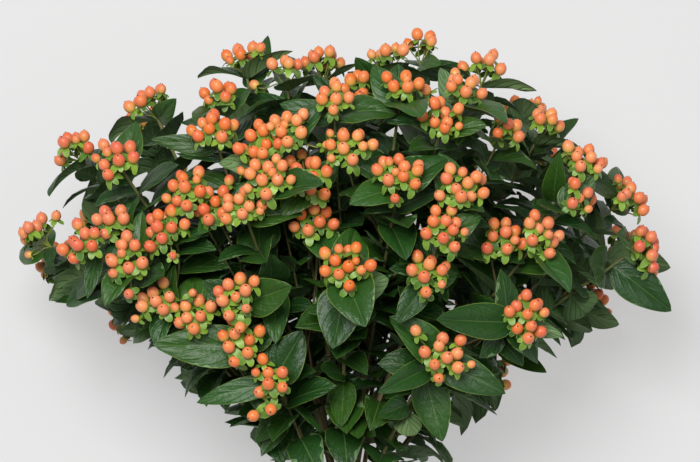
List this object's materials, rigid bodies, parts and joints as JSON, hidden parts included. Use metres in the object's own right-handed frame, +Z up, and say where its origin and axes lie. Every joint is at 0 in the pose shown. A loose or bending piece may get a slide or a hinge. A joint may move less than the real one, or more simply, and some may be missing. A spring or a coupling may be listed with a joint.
{
  "type": "hypericum berry bunch",
  "caption": "Cut bunch of leafy hypericum stems with coral berries in flat-topped clusters, held by a rubber band and lying on its side.",
  "frame": {"origin": "centre of the bounding box in X and Y, on the surface that the bunch lies on", "axes": "+Z up from the surface; +Y from the cut ends towards the berry head; +X to the right of the head as pictured"},
  "size_m": [0.574, 0.609, 0.3184],
  "materials": {
    "stem": "matt brown-green bark, dark green satin leaves and satin coral berries",
    "rubber": "matt tan rubber"
  },
  "bodies": {
    "root": {"stem_01": "stem", "stem_02": "stem", "stem_03": "stem", "stem_04": "stem", "stem_05": "stem", "stem_06": "stem", "stem_07": "stem", "stem_08": "stem", "stem_09": "stem", "stem_10": "stem", "stem_11": "stem", "stem_12": "stem", "stem_13": "stem", "stem_14": "stem", "stem_15": "stem", "stem_16": "stem", "stem_17": "stem", "stem_18": "stem", "stem_19": "stem", "stem_20": "stem", "stem_21": "stem", "stem_22": "stem", "stem_23": "stem", "stem_24": "stem", "stem_25": "stem", "stem_26": "stem", "stem_27": "stem", "stem_28": "stem", "stem_29": "stem", "stem_30": "stem", "stem_31": "stem", "stem_32": "stem", "band": "rubber"}
  },
  "joints": []
}
